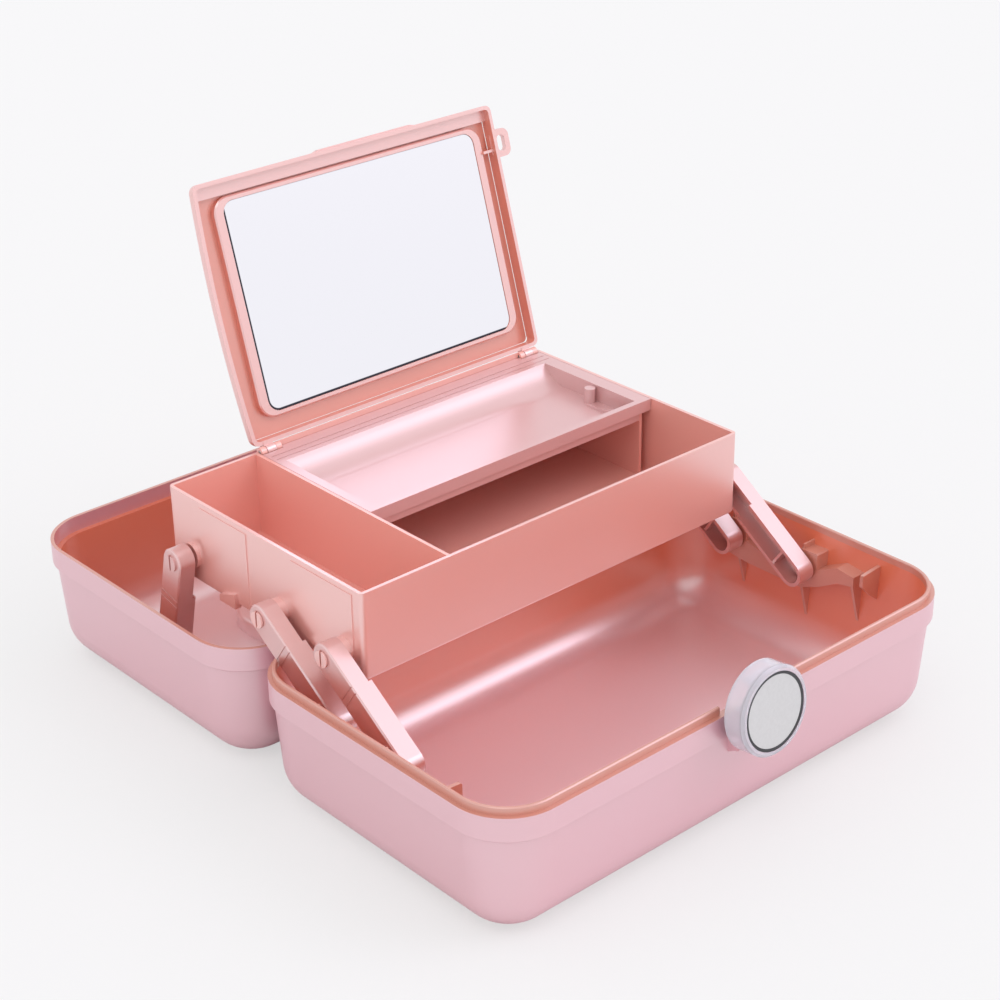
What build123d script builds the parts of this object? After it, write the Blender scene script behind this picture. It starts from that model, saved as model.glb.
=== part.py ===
from build123d import *
import math
import os

os.makedirs("parts", exist_ok=True)

# Frame: the origin is the centre of the base shell's flat bottom. X runs along the long
# side, Y to the hinged rear side, Z up. All sizes are in millimetres. The case stands open,
# as in the photo: the lid lies behind the base and the tray is swung out over both.

# ---- case shells ----
CASE_LENGTH = 329.0
CASE_DEPTH = 196.4
RIM_Z = 74.85
PLAN_RADIUS = 32.0
BAND_HEIGHT = 14.0
BAND_STEP = 2.2
SHELL_DRAFT = 4.0
SHELL_FLOOR = 2.5
OUTER_ROUND = 24.0
INNER_ROUND = 21.0
LEDGE = 2.4
TONGUE = 2.0
TONGUE_HEIGHT = 4.2
TONGUE_GAP = 40.0
ARM_NOTCH_Z = 74.3
RIM_POCKET = 9.0
RIM_RING = 2.0
WALL_INSET = LEDGE + TONGUE

# ---- case hinge ----
HINGE_Z = 75.0
HINGE_GAP = 4.1
HINGE_Y = CASE_DEPTH / 2 + HINGE_GAP
LID_Y = 2 * HINGE_Y
KNUCKLE_RADIUS = 3.7
KNUCKLE_LENGTH = 10.0
KNUCKLE_GAP = 0.3
HINGE_STATIONS = (-95.0, 95.0)
PIN_RADIUS = 1.5
PIN_FIT = 0.06
PIN_HEAD = 0.8

# ---- arms and their pivots ----
BRACKET_DEPTH = 14.5
BRACKET_X = CASE_LENGTH / 2 - BRACKET_DEPTH
ARM_GAP = 1.5
ARM_CHANNEL = 12.0
ARM_JOG_STEP = 2.0
ARM_OUTER = BRACKET_X - ARM_GAP
ARM_INNER = ARM_OUTER - ARM_CHANNEL
ARM_INNER_TOP = ARM_INNER + ARM_JOG_STEP
ARM_LENGTH = 66.9
ARM_OPEN = 34.6
ARM_SHUT = 153.0
ARM_WIDTH = 15.5
ARM_WEB = 2.2
ARM_FLANGE = 2.0
ARM_EDGE = 0.8
ARM_JOG = 23.0
ARM_RIB = 12.0
FRONT_PIVOT = (-3.8, 57.0)
PIVOT_PITCH = 53.0
MIDDLE_PIVOT = (FRONT_PIVOT[0] + PIVOT_PITCH, FRONT_PIVOT[1])
REAR_TRAY_PIVOT = (181.2, 97.0)
REAR_ARM_OPEN = -76.3
POST_RADIUS = 4.12
POST_FIT = 0.06
POST_HEAD = 4.6
POST_HEAD_LENGTH = 1.0
POST_GAP = 0.2
POST_SLOT = 1.2
BOSS_RADIUS = 7.5
BOSS_ROOF = 10.2
REST_TOP = 69.8
REST_Y = -47.6
REST_REACH = 5.0
SIDE_GAP = 0.2

# ---- storage tray ----
TRAY_SIDE_GAP = 2.5
TRAY_HALF = ARM_INNER - TRAY_SIDE_GAP
TRAY_FRONT = 36.7
TRAY_REAR = 200.8
TRAY_BOTTOM = 81.8
TRAY_TOP = 131.2
TRAY_WALL = 2.0
LEFT_ROOM = 57.6
RIGHT_SLOT = 8.0
DIVIDER_X = -TRAY_HALF + LEFT_ROOM
PARTIAL_X = TRAY_HALF - RIGHT_SLOT

# ---- shelf tray ----
SHELF_FRONT = 101.9
SHELF_PLATE = 2.0
SHELF_GAP = 0.3
SHELF_SKIRT = 7.0
BASIN_DEPTH = 10.2
BASIN_REAR = 181.5
LEDGE_WIDTH = 3.0
GROOVES = (BASIN_REAR + 3.9, BASIN_REAR + 8.7)

# ---- mirror lid ----
MIRROR_AXIS = (198.9, 131.3)
MIRROR_TILT = 16.5
MIRROR_EDGE = (200.2, 134.3)
PAN_LEFT = DIVIDER_X - 0.6
PAN_RIGHT = TRAY_HALF + 1.0
PAN_BULGE = 3.0
PAN_HEIGHT = 145.8
PAN_DEPTH = 9.5
PAN_WALL = 2.2
PAN_PLATE = 2.0
GLASS_LEFT = PAN_LEFT + 18.0
GLASS_RIGHT = PAN_RIGHT - 15.0
GLASS_LOW = 14.7
GLASS_HIGH = 132.8
GLASS_THICK = 1.8
GLASS_RADIUS = 7.0
GLASS_GAP = 0.25
BEZEL = 6.0
BEZEL_RISE = 4.0
MIRROR_STATIONS = (PAN_LEFT + 9.0, PAN_RIGHT - 11.0)
EAR_WIDTH = 6.0
EAR_RADIUS = 3.0
CHEEK_WIDTH = 3.4
CHEEK_RADIUS = 2.8
MIRROR_PIN = 1.2
BEAD_RADIUS = 2.85
LIP_ENDS = (0.0, 84.0)
LIP_TAPER = 9.0
LIP_RISE = 0.9

# ---- latch ----
LATCH_PIVOT = (-99.9, 56.0)
LATCH_CENTRE = (-114.3, 76.5)
LATCH_LEAN = 6.5
PUCK_RADIUS = 23.7
PUCK_DEPTH = 12.0
DISC_RADIUS = 19.1
DISC_THICK = 1.2
RING_WIDTH = 1.5
LATCH_HALF = 8.5
LATCH_KNUCKLE = 3.4
LATCH_PIN = 1.25
LUG_WIDTH = 3.5
HOOK_Z = 89.5
HOOK_TIP = -99.2

# ---- carry handle in the lid's top ----
RECESS_LENGTH = 139.2
RECESS_WIDTH = 97.2
RECESS_RADIUS = 21.6
RECESS_DEPTH = 8.8
RECESS_WALL = 2.2
HANDLE_AXIS_Z = 4.2
HANDLE_THICK = 6.4
HANDLE_SIDE_GAP = 8.1
HANDLE_HALF = RECESS_LENGTH / 2 - HANDLE_SIDE_GAP
HANDLE_REACH = 38.0
HANDLE_BOSS = 3.9
HANDLE_EDGE = 2.2
HANDLE_BAR = 11.0
HANDLE_PIN = 2.0
HANDLE_HUB = 8.5


def block(x0, x1, y0, y1, z0, z1):
    """Box between two corners."""
    return Pos((x0 + x1) / 2, (y0 + y1) / 2, (z0 + z1) / 2) * Box(x1 - x0, y1 - y0, z1 - z0)


def rod(radius, x0, x1, y, z):
    """Round bar along X."""
    return Pos((x0 + x1) / 2, y, z) * Rot(0, 90, 0) * Cylinder(radius, x1 - x0)


def slab(points, x0, x1):
    """Outline in the YZ plane, drawn out along X."""
    face = Plane.YZ.offset(x0) * Polygon(*points, align=None)
    return extrude(face, amount=x1 - x0, dir=(1, 0, 0))


def both_sides(part):
    """The part and its mirror image in the YZ plane."""
    return part + mirror(part, about=Plane.YZ)


def polar(start, length, degrees):
    """Point in the YZ plane at a length and an angle above +Y."""
    turn = math.radians(degrees)
    return (start[0] + length * math.cos(turn), start[1] + length * math.sin(turn))


def rear_arm_length():
    """Length that fits the rear arm both with the case open and with it shut."""
    open_end = polar((0, 0), ARM_LENGTH, ARM_OPEN)
    shut_end = polar((0, 0), ARM_LENGTH, ARM_SHUT)
    wy = 2 * (HINGE_Y - REAR_TRAY_PIVOT[0]) - (shut_end[0] - open_end[0])
    wz = 2 * (HINGE_Z - REAR_TRAY_PIVOT[1]) - (shut_end[1] - open_end[1])
    ey, ez = polar((0, 0), 1.0, REAR_ARM_OPEN)
    return (wy * wy + wz * wz) / (2 * (wy * ey + wz * ez))


REAR_LENGTH = rear_arm_length()
LID_PIVOT = polar(REAR_TRAY_PIVOT, REAR_LENGTH, REAR_ARM_OPEN)


# ---- shells ----
def hanging_block(length, depth, radius, top, height, edge_round):
    """Rounded block that narrows downward by the shells' draft and has a round bottom edge."""
    face = Plane((0, 0, top), x_dir=(1, 0, 0), z_dir=(0, 0, -1)) * RectangleRounded(length, depth, radius)
    solid = extrude(face, amount=height, taper=SHELL_DRAFT)
    return fillet(solid.edges().group_by(Axis.Z)[0], edge_round)


def rim_plan(inset, z, height):
    """Prism of the shells' plan, set in from the outside."""
    plan = RectangleRounded(CASE_LENGTH - 2 * inset, CASE_DEPTH - 2 * inset, PLAN_RADIUS - inset)
    return extrude(Plane.XY.offset(z) * plan, amount=height)


def shell_outside():
    """Outer form of either half: a band at the rim over a drafted tub."""
    band = rim_plan(0, RIM_Z - BAND_HEIGHT, BAND_HEIGHT)
    band = chamfer(band.edges().group_by(Axis.Z)[0], 0.9)
    tub = hanging_block(
        CASE_LENGTH - 2 * BAND_STEP,
        CASE_DEPTH - 2 * BAND_STEP,
        PLAN_RADIUS - BAND_STEP,
        RIM_Z - BAND_HEIGHT,
        RIM_Z - BAND_HEIGHT,
        OUTER_ROUND,
    )
    return band + tub


def shell_inside():
    """Hollow of either half."""
    return hanging_block(
        CASE_LENGTH - 2 * WALL_INSET,
        CASE_DEPTH - 2 * WALL_INSET,
        PLAN_RADIUS - WALL_INSET,
        RIM_Z,
        RIM_Z - SHELL_FLOOR,
        INNER_ROUND,
    )


def knuckle(x0, x1, toward):
    """Hinge barrel at the case hinge with its root; toward is -1 for the base and 1 for the lid."""
    barrel = rod(KNUCKLE_RADIUS, x0, x1, HINGE_Y, HINGE_Z)
    rim = HINGE_Y + toward * (HINGE_GAP + 1.2)
    root = slab(
        [
            (HINGE_Y + toward * 0.4, HINGE_Z - 3.0),
            (HINGE_Y + toward * 3.6, HINGE_Z - 0.8),
            (rim, HINGE_Z - 0.8),
            (rim, HINGE_Z - 11.0),
            (HINGE_Y + toward * 3.2, HINGE_Z - 9.0),
        ],
        x0,
        x1,
    )
    bore = rod(PIN_RADIUS + PIN_FIT, x0 - 1, x1 + 1, HINGE_Y, HINGE_Z)
    return barrel + root - bore


def base_knuckles():
    """Two outer barrels at each station."""
    parts = []
    for station in HINGE_STATIONS:
        inner = KNUCKLE_LENGTH / 2 + KNUCKLE_GAP
        parts.append(knuckle(station - inner - KNUCKLE_LENGTH, station - inner, -1))
        parts.append(knuckle(station + inner, station + inner + KNUCKLE_LENGTH, -1))
    return parts


def lid_knuckles():
    """One middle barrel at each station."""
    half = KNUCKLE_LENGTH / 2
    return [knuckle(station - half, station + half, 1) for station in HINGE_STATIONS]


def case_hinge_pins():
    """Two pins, each with a round head at both ends."""
    reach = 1.5 * KNUCKLE_LENGTH + KNUCKLE_GAP
    pins = []
    for station in HINGE_STATIONS:
        pin = rod(PIN_RADIUS, station - reach - PIN_HEAD, station + reach + PIN_HEAD, HINGE_Y, HINGE_Z)
        for x0 in (station - reach - PIN_HEAD, station + reach):
            pin += rod(PIN_RADIUS + 0.8, x0, x0 + PIN_HEAD, HINGE_Y, HINGE_Z)
        pins.append(pin)
    return Compound(children=pins)


def wall_post(pivot):
    """Split post that stands in from a wall bracket and holds an arm's lower end, right side."""
    y, z = pivot
    web_inside = ARM_OUTER - ARM_WEB
    post = rod(POST_RADIUS, web_inside - POST_GAP, BRACKET_X + 0.5, y, z)
    head_end = web_inside - POST_GAP
    post += rod(POST_HEAD, head_end - POST_HEAD_LENGTH, head_end, y, z)
    slot = block(head_end - 2, BRACKET_X - 0.8, y - POST_SLOT / 2, y + POST_SLOT / 2, z - 6, z + 6)
    return post - slot


def base_bracket():
    """Rib frame on the right end wall that carries the two base posts and the arm rest."""
    end = CASE_LENGTH / 2
    web = slab(
        [
            (60.0, 44.0), (60.0, 52.0), (53.0, 59.0), (22.0, 50.5), (4.0, 50.0), (-13.2, 58.1), (-26.2, 64.3),
            (-38.2, 62.9), (-38.2, 57.0), (-27.0, 55.0), (-14.0, 47.5), (0.0, 42.0), (40.0, 42.0),
        ],
        BRACKET_X,
        end,
    )
    for y, z in (FRONT_PIVOT, MIDDLE_PIVOT):
        web += rod(BOSS_RADIUS, BRACKET_X, end, y, z)
        roof = z + BOSS_ROOF
        web += slab(
            [
                (y - 8.2, z - 6), (y - 8.2, roof - 0.8), (y - 7.4, roof), (y + 3.8, roof - 0.6), (y + 5.0, roof - 1.8),
                (y + 7.2, z),
            ],
            BRACKET_X,
            end,
        )
        web += block(BRACKET_X + 1.0, end, y + 2.0, y + 3.2, z, roof + 2.4)
    for y, top, low in ((MIDDLE_PIVOT[0] - 2, 48.0, 17.0), (FRONT_PIVOT[0] + 3, 46.0, 14.0), (-37.0, 58.0, 28.0)):
        face = Plane.XZ.offset(-y) * Polygon((BRACKET_X, top), (end, top), (end - 6.0, low), align=None)
        web += extrude(face, amount=0.9, both=True)
    inner = BRACKET_X - REST_REACH
    rest = Plane.XZ.offset(-REST_Y) * Polygon(
        (inner, REST_TOP - 1.0), (inner + 0.6, REST_TOP), (end, REST_TOP + 1.5), (end, REST_TOP - 24.0),
        (BRACKET_X + 3.0, REST_TOP - 15.0), (inner, REST_TOP - 7.0), align=None
    )
    return web + extrude(rest, amount=1.1, both=True)


def latch_lugs():
    """Two lugs on the front wall that carry the latch pin."""
    y, z = LATCH_PIVOT
    inner = LATCH_HALF + 0.3
    lug = rod(LATCH_KNUCKLE, inner, inner + LUG_WIDTH, y, z)
    lug += slab(
        [(y, z + LATCH_KNUCKLE), (y, z - LATCH_KNUCKLE), (y + 6, z - 7.0), (y + 6, z + 4.5)],
        inner,
        inner + LUG_WIDTH,
    )
    lug -= rod(LATCH_PIN + PIN_FIT, inner - 1, inner + LUG_WIDTH + 1, y, z)
    return both_sides(lug)


def base_shell():
    """Lower half: tub with a raised tongue round its rim, brackets, lugs and hinge barrels."""
    outside = shell_outside()
    inside = shell_inside()
    shell = outside - inside
    tongue = rim_plan(LEDGE, RIM_Z - 1, TONGUE_HEIGHT + 1) - rim_plan(WALL_INSET, RIM_Z - 2, TONGUE_HEIGHT + 3)
    tongue = chamfer(tongue.edges().group_by(Axis.Z)[-1], 0.5)
    gap = TONGUE_GAP / 2
    tongue -= block(-gap, gap, -CASE_DEPTH / 2, -CASE_DEPTH / 2 + 10, RIM_Z, RIM_Z + 10)
    shell += tongue
    notch = block(ARM_INNER - 1.5, ARM_OUTER + 1.5, CASE_DEPTH / 2 - 30, CASE_DEPTH / 2, ARM_NOTCH_Z, RIM_Z + 10)
    shell -= both_sides(notch) & rim_plan(LEDGE, ARM_NOTCH_Z, 2 * TONGUE_HEIGHT)
    shell += both_sides((base_bracket() & outside) + wall_post(FRONT_PIVOT) + wall_post(MIDDLE_PIVOT))
    shell += latch_lugs() - inside
    for part in base_knuckles():
        shell += part
    return shell


def lid_bracket():
    """Boss with ribs on the lid's right end wall, holding the rear arm's lower end."""
    y, z = LID_PIVOT
    web = rod(BOSS_RADIUS, BRACKET_X, CASE_LENGTH / 2, y, z)
    web += slab([(y - 2, z - 4), (y - 4, z - 22), (y + 4, z - 22), (y + 2, z - 4)], BRACKET_X + 1.5, CASE_LENGTH / 2)
    for offset in (-16.0, 16.0):
        web += slab(
            [(y + offset, z - 4), (y + offset, z + 1), (y, z + 4), (y, z - 6)],
            BRACKET_X + 2.5,
            CASE_LENGTH / 2,
        )
    return web


def handle_boss():
    """Socket for a handle pin on the right end wall of the recess."""
    inner = HANDLE_HALF + 0.3
    outer = RECESS_LENGTH / 2 + 1
    boss = rod(HANDLE_BOSS, inner, outer, LID_Y, HANDLE_AXIS_Z)
    boss += block(inner, outer, LID_Y - HANDLE_BOSS, LID_Y + HANDLE_BOSS, HANDLE_AXIS_Z, RECESS_DEPTH + 1)
    return boss - rod(HANDLE_PIN + PIN_FIT, inner - 1, inner + 5.7, LID_Y, HANDLE_AXIS_Z)


def lid_shell():
    """Upper half as it lies when open: same tub, a pocket for the tongue and a handle recess."""
    to_lid = Pos(0, LID_Y, 0)
    outside = to_lid * shell_outside()
    shell = outside - to_lid * shell_inside()
    shell -= to_lid * rim_plan(RIM_RING, RIM_Z - RIM_POCKET, RIM_POCKET + 1)
    bulge = extrude(
        Plane.XY * RectangleRounded(
            RECESS_LENGTH + 2 * RECESS_WALL, RECESS_WIDTH + 2 * RECESS_WALL, RECESS_RADIUS + RECESS_WALL
        ),
        amount=RECESS_DEPTH + RECESS_WALL,
        taper=2,
    )
    bulge = fillet(bulge.edges().group_by(Axis.Z)[-1], 2.4)
    opening = RectangleRounded(RECESS_LENGTH, RECESS_WIDTH, RECESS_RADIUS)
    recess = extrude(Plane.XY * opening, amount=RECESS_DEPTH, taper=2)
    recess = chamfer(recess.edges().group_by(Axis.Z)[-1], 1.2)
    shell += to_lid * bulge
    shell -= to_lid * recess
    shell += both_sides(handle_boss())
    shell += both_sides((lid_bracket() & outside) + wall_post(LID_PIVOT))
    for part in lid_knuckles():
        shell += part
    return shell


# ---- arms ----
def arm(length):
    """Channel arm along local X from its lower pivot; local Z is the case's X, right side."""
    slot = Pos(length / 2, 0) * SlotCenterToCenter(length, ARM_WIDTH)
    hollow = Pos(length / 2, 0) * SlotCenterToCenter(length, ARM_WIDTH - 2 * ARM_FLANGE)
    web_inside = ARM_OUTER - ARM_WEB
    solid = extrude(Plane.XY.offset(ARM_INNER) * slot, amount=ARM_OUTER - ARM_INNER)
    solid = chamfer(solid.edges().group_by(Axis.Z)[-1], ARM_EDGE)
    solid -= extrude(Plane.XY.offset(ARM_INNER - 1) * hollow, amount=web_inside - ARM_INNER + 1)
    half = ARM_WIDTH / 2
    solid -= block(length - ARM_JOG, length + ARM_WIDTH, -half, half, ARM_INNER - 1, ARM_INNER_TOP)
    solid += block(ARM_RIB - 0.8, ARM_RIB + 0.8, -half + 1, half - 1, ARM_INNER + 1.5, web_inside + 0.5)
    for line in (ARM_JOG - 1.0, ARM_JOG + 3.0):
        at = length - line
        solid -= block(at - 0.4, at + 0.4, -half - 1, half + 1, ARM_OUTER - 0.4, ARM_OUTER + 1)
    for x in (0, length):
        solid -= Pos(x, 0, web_inside) * Cylinder(POST_RADIUS + POST_FIT, 4 * ARM_WEB)
    return solid


def placed_arm(length, pivot, degrees):
    """Right-hand arm at its lower pivot, turned to its open angle."""
    turn = math.radians(degrees)
    plane = Plane((0, pivot[0], pivot[1]), x_dir=(0, math.cos(turn), math.sin(turn)), z_dir=(1, 0, 0))
    return plane.location * arm(length)


def rear_arm_studs():
    """Split studs in the upper ends of the rear arms, one on each side."""
    y, z = REAR_TRAY_PIVOT
    web_inside = ARM_OUTER - ARM_WEB
    stud = rod(POST_RADIUS, web_inside, ARM_OUTER, y, z)
    stud += rod(5.4, web_inside - 1.2, web_inside, y, z)
    stud += rod(POST_HEAD, ARM_OUTER, ARM_OUTER + POST_HEAD_LENGTH, y, z)
    stud -= block(ARM_OUTER - 1, ARM_OUTER + 3, y - POST_SLOT / 2, y + POST_SLOT / 2, z - 6, z + 6)
    return Compound(children=[stud, mirror(stud, about=Plane.YZ)])


# ---- storage tray ----
def tray_post(pivot):
    """Split post on the tray's right side that holds an arm's upper end."""
    y, z = pivot
    post = rod(BOSS_RADIUS - 0.5, TRAY_HALF - 0.5, ARM_INNER_TOP - 0.4, y, z)
    tip = ARM_OUTER + POST_GAP
    post += rod(POST_RADIUS, TRAY_HALF, tip, y, z)
    post += rod(POST_HEAD, tip, tip + POST_HEAD_LENGTH, y, z)
    return post - block(tip - 5, tip + 3, y - POST_SLOT / 2, y + POST_SLOT / 2, z - 6, z + 6)


def mirror_cheeks(station):
    """Pair of round cheeks on the tray's rear wall that hold one mirror lid pin."""
    y, z = MIRROR_AXIS
    parts = None
    for side in (-1, 1):
        inner = station + side * (EAR_WIDTH / 2 + KNUCKLE_GAP)
        outer = inner + side * CHEEK_WIDTH
        cheek = rod(CHEEK_RADIUS, min(inner, outer), max(inner, outer), y, z)
        cheek += slab(
            [(y - CHEEK_RADIUS, z), (TRAY_REAR - TRAY_WALL, z - 9), (TRAY_REAR, z - 9), (TRAY_REAR, z)],
            min(inner, outer),
            max(inner, outer),
        )
        parts = cheek if parts is None else parts + cheek
    return parts


def mirror_pin_reach():
    """Half the length of a mirror lid pin: half the ear, the gap and one cheek."""
    return EAR_WIDTH / 2 + KNUCKLE_GAP + CHEEK_WIDTH


def mirror_bead():
    """Rolled lip on the tray's rear wall, round the mirror lid's axis, between the two hinges."""
    y, z = MIRROR_AXIS
    reach = mirror_pin_reach() - CHEEK_WIDTH / 2
    first = MIRROR_STATIONS[0] + reach
    last = MIRROR_STATIONS[1] - reach
    wall = TRAY_REAR - TRAY_WALL
    return rod(BEAD_RADIUS, first, last, y, z) & block(first, last, wall, wall + 6, z - 6, z + 6)


def storage_tray():
    """Open box with a divider, a part-height wall, mirror lid cheeks and the arm posts."""
    tray = block(-TRAY_HALF, TRAY_HALF, TRAY_FRONT, TRAY_REAR, TRAY_BOTTOM, TRAY_TOP)
    tray = fillet(tray.edges().filter_by(Axis.Z), 3.0)
    tray = fillet(tray.edges().group_by(Axis.Z)[0], 1.6)
    hollow = block(
        -TRAY_HALF + TRAY_WALL, TRAY_HALF - TRAY_WALL,
        TRAY_FRONT + TRAY_WALL, TRAY_REAR - TRAY_WALL,
        TRAY_BOTTOM + TRAY_WALL, TRAY_TOP + 1,
    )
    tray -= fillet(hollow.edges().filter_by(Axis.Z), 1.0)
    half = TRAY_WALL / 2
    floor = TRAY_BOTTOM + TRAY_WALL / 2
    tray += block(DIVIDER_X - half, DIVIDER_X + half, TRAY_FRONT + 1, TRAY_REAR - 1, floor, TRAY_TOP)
    seat = TRAY_TOP - SHELF_PLATE
    behind = SHELF_FRONT + TRAY_WALL + SHELF_GAP
    tray += block(PARTIAL_X - half, PARTIAL_X + half, behind, TRAY_REAR - 1, floor, seat)
    tray += slab(
        [(behind, seat), (behind, seat - 3), (TRAY_REAR - 1, seat - 3), (TRAY_REAR - 1, seat)],
        DIVIDER_X,
        DIVIDER_X + half + LEDGE_WIDTH,
    )
    for y0, y1 in ((44.1, 93.1), (131.2, 172.7)):
        tray += both_sides(block(TRAY_HALF - 1, TRAY_HALF + 0.5, y0, y1, TRAY_BOTTOM + 4, TRAY_TOP - 3))
    hook = slab([(142, 89), (142, 80.2), (156, 80.2), (156, 84)], TRAY_HALF - 1.5, TRAY_HALF + 2.4)
    tray += mirror(hook, about=Plane.YZ)
    tray += mirror_bead()
    bore = mirror_pin_reach() + KNUCKLE_GAP
    for station in MIRROR_STATIONS:
        ear = EAR_WIDTH / 2 + KNUCKLE_GAP
        y, z = MIRROR_AXIS
        tray -= block(station - ear, station + ear, y - 3.5, TRAY_REAR + 1, z - EAR_RADIUS - 0.4, z + 5)
        tray += mirror_cheeks(station)
        tray -= rod(MIRROR_PIN + PIN_FIT, station - bore, station + bore, y, z)
    front_top = polar(FRONT_PIVOT, ARM_LENGTH, ARM_OPEN)
    middle_top = polar(MIDDLE_PIVOT, ARM_LENGTH, ARM_OPEN)
    y, z = REAR_TRAY_PIVOT
    rear_boss = rod(BOSS_RADIUS - 0.5, TRAY_HALF - 0.5, ARM_INNER - SIDE_GAP, y, z)
    return tray + both_sides(tray_post(front_top) + tray_post(middle_top) + rear_boss)


def shelf_tray():
    """Shallow lift-out shelf with a basin, over the rear of the wide compartment."""
    left = DIVIDER_X + TRAY_WALL / 2 + SHELF_GAP
    right = TRAY_HALF - TRAY_WALL - SHELF_GAP
    rear = TRAY_REAR - TRAY_WALL - SHELF_GAP
    basin_left = left + LEDGE_WIDTH + SHELF_GAP
    basin_right = PARTIAL_X - TRAY_WALL / 2 - SHELF_GAP
    seat = TRAY_TOP - SHELF_PLATE
    shelf = block(left, right, SHELF_FRONT, rear, seat, TRAY_TOP)
    bottom = TRAY_TOP - BASIN_DEPTH - SHELF_PLATE
    shelf += slab(
        [(SHELF_FRONT + 2, seat + 1), (SHELF_FRONT + 2, bottom), (163, bottom), (174, bottom + 2), (181, bottom + 6),
         (BASIN_REAR + 3, seat + 1)],
        basin_left,
        basin_right,
    )
    with BuildSketch(Plane.YZ.offset(basin_left + 2)) as trough:
        with BuildLine():
            Polyline((BASIN_REAR, TRAY_TOP + 1), (BASIN_REAR, TRAY_TOP))
            ThreePointArc((BASIN_REAR, TRAY_TOP), (174.5, bottom + SHELF_PLATE + 3.0), (160, bottom + SHELF_PLATE))
            Line((160, bottom + SHELF_PLATE), (SHELF_FRONT + 7, bottom + SHELF_PLATE))
            ThreePointArc(
                (SHELF_FRONT + 7, bottom + SHELF_PLATE),
                (SHELF_FRONT + 4.9, bottom + SHELF_PLATE + 0.9),
                (SHELF_FRONT + 4, bottom + SHELF_PLATE + 3),
            )
            Polyline(
                (SHELF_FRONT + 4, bottom + SHELF_PLATE + 3),
                (SHELF_FRONT + 4, TRAY_TOP + 1),
                (BASIN_REAR, TRAY_TOP + 1),
            )
        make_face()
    shelf -= extrude(trough.sketch, amount=basin_right - basin_left - 4)
    shelf += block(left, right, SHELF_FRONT, SHELF_FRONT + TRAY_WALL, TRAY_TOP - SHELF_SKIRT, TRAY_TOP)
    for y in GROOVES:
        shelf -= block(left + 2, right - 2, y - 0.3, y + 0.3, TRAY_TOP - 0.4, TRAY_TOP + 1)
    shelf += slab([(108, bottom + 1), (108, 127.5), (120, 123.5), (136, 122.0), (136, bottom + 1)], 113.5, 115.0)
    shelf += Pos(119.0, 139.0, 0) * Pos(0, 0, (bottom + 130.0) / 2 + 0.5) * Cylinder(3.2, 130.0 - bottom - 1)
    for station in MIRROR_STATIONS:
        reach = mirror_pin_reach() + SHELF_GAP
        shelf -= block(station - reach, station + reach, MIRROR_AXIS[0] - 3.4, rear + 1, seat - 5, TRAY_TOP + 5)
    return shelf


# ---- mirror lid ----
def pan_plane():
    """Plane of the mirror lid's front rim: local Y up the lid, local Z to its front."""
    tilt = math.radians(MIRROR_TILT)
    return Plane(
        (0, MIRROR_EDGE[0], MIRROR_EDGE[1]), x_dir=(1, 0, 0), z_dir=(0, -math.cos(tilt), math.sin(tilt))
    )


def pan_outline(inset):
    """Face of the mirror lid; its left side is slightly bowed."""
    left = PAN_LEFT + inset
    right = PAN_RIGHT - inset
    low = inset
    high = PAN_HEIGHT - inset
    with BuildSketch() as face:
        with BuildLine():
            Polyline((left, low), (right, low), (right, high), (left, high))
            ThreePointArc((left, high), (left - PAN_BULGE, (low + high) / 2), (left, low))
        make_face()
        fillet(face.vertices(), 4.0 if inset == 0 else 2.5)
    return face.sketch


def mirror_loop():
    """D-shaped pull loop on the right edge, with a round-cornered hole."""
    centre = 122.2
    loop = Pos(PAN_RIGHT + 4.5, centre) * RectangleRounded(15.0, 16.4, 4.5)
    hole = Pos(PAN_RIGHT + 5.6, centre) * RectangleRounded(6.0, 9.4, 2.4)
    return extrude(Plane.XY.offset(-6.2) * (loop - hole), amount=3.2)


def hinge_ear(station):
    """Ear at the lower edge that reaches out to the mirror lid's pin."""
    tilt = math.radians(MIRROR_TILT)
    dy = MIRROR_AXIS[0] - MIRROR_EDGE[0]
    dz = MIRROR_AXIS[1] - MIRROR_EDGE[1]
    along = dy * math.sin(tilt) + dz * math.cos(tilt)
    front = -dy * math.cos(tilt) + dz * math.sin(tilt)
    half = EAR_WIDTH / 2
    ear = rod(EAR_RADIUS, station - half, station + half, along, front)
    ear += block(station - half, station + half, along, 1.5, front - 4.4, front)
    return ear - rod(MIRROR_PIN + PIN_FIT, station - 20, station + 20, along, front)


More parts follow.
